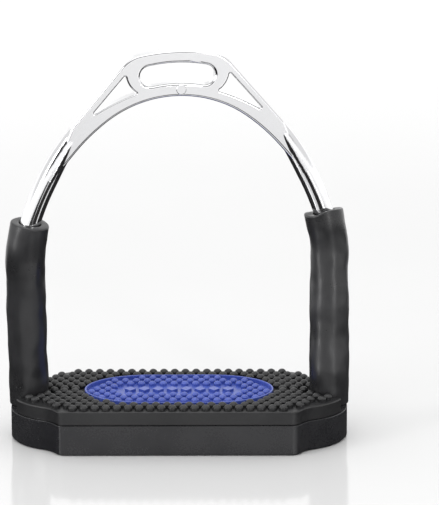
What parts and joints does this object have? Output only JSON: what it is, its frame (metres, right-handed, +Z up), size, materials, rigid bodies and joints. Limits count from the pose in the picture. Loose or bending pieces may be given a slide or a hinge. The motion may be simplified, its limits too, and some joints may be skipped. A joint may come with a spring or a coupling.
{
  "type": "stirrup iron",
  "caption": "Flexible stirrup iron: polished steel bow with a leather slot, jointed legs in rubber sleeves, and a studded tread with an oval insert.",
  "frame": {"origin": "centre of the tread's flat underside", "axes": "+X across the tread from leg to leg, -Y is the front, +Z up towards the leather slot"},
  "size_m": [0.1552, 0.064, 0.1799],
  "materials": {
    "polished_steel": "polished",
    "joint_steel": "satin",
    "sleeve_rubber": "satin",
    "base_nylon": "satin",
    "pad_rubber": "matt",
    "insert_rubber": "matt",
    "zinc_screw": "zinc plated"
  },
  "bodies": {
    "tread": {"tread_base": "base_nylon", "tread_pad": "pad_rubber", "pad_insert": "insert_rubber", "post_screws": "zinc_screw", "post_washers": "zinc_screw", "insert_screws": "zinc_screw", "leg_post_left": "joint_steel", "leg_post_right": "joint_steel", "lower_pitch_pin_left": "joint_steel", "lower_pitch_pin_right": "joint_steel", "sleeve_left": "sleeve_rubber", "sleeve_right": "sleeve_rubber"},
    "lower_knuckle_left": {"lower_knuckle_left": "joint_steel", "lower_sway_pin_left": "joint_steel"},
    "lower_knuckle_right": {"lower_knuckle_right": "joint_steel", "lower_sway_pin_right": "joint_steel"},
    "link_left": {"leg_link_left": "joint_steel"},
    "link_right": {"leg_link_right": "joint_steel"},
    "upper_knuckle_left": {"upper_knuckle_left": "joint_steel", "upper_sway_pin_left": "joint_steel"},
    "upper_knuckle_right": {"upper_knuckle_right": "joint_steel", "upper_sway_pin_right": "joint_steel"},
    "bow": {"bow": "polished_steel", "upper_pitch_pin_left": "joint_steel", "upper_pitch_pin_right": "joint_steel"}
  },
  "joints": [
    {"name": "tread_pitch_left", "type": "hinge", "parent": "tread", "child": "lower_knuckle_left", "pos_m": [-0.0687, 0, 0.03], "axis": [1, 0, 0], "range_deg": [-18, 18], "stiffness_Nm_per_rad": 3, "deforming": ["sleeve_left"]},
    {"name": "tread_pitch_right", "type": "hinge", "parent": "tread", "child": "lower_knuckle_right", "pos_m": [0.0687, 0, 0.03], "axis": [1, 0, 0], "range_deg": [-18, 18], "deforming": ["sleeve_right"]},
    {"name": "sway_left", "type": "hinge", "parent": "lower_knuckle_left", "child": "link_left", "pos_m": [-0.0687, -0.00206, 0.041], "axis": [0, 1, 0], "range_deg": [-10, 10], "stiffness_Nm_per_rad": 3},
    {"name": "sway_right", "type": "hinge", "parent": "lower_knuckle_right", "child": "link_right", "pos_m": [0.0687, 0.00206, 0.041], "axis": [0, 1, 0], "range_deg": [-10, 10]},
    {"name": "level_left", "type": "hinge", "parent": "link_left", "child": "upper_knuckle_left", "pos_m": [-0.0687, -0.00882, 0.077], "axis": [0, 1, 0], "range_deg": [-10, 10]},
    {"name": "level_right", "type": "hinge", "parent": "link_right", "child": "upper_knuckle_right", "pos_m": [0.0687, 0.00882, 0.077], "axis": [0, 1, 0], "range_deg": [-10, 10]},
    {"name": "bow_pitch", "type": "hinge", "parent": "upper_knuckle_left", "child": "bow", "pos_m": [-0.0687, -0.01088, 0.088], "axis": [0.9877, 0.1564, 0], "range_deg": [-18, 18], "stiffness_Nm_per_rad": 3}
  ],
  "couplings": [
    {"joint": "tread_pitch_right", "follows": "tread_pitch_left", "ratio": 1},
    {"joint": "sway_right", "follows": "sway_left", "ratio": 1},
    {"joint": "level_left", "follows": "sway_left", "ratio": -1},
    {"joint": "level_right", "follows": "sway_left", "ratio": -1}
  ]
}
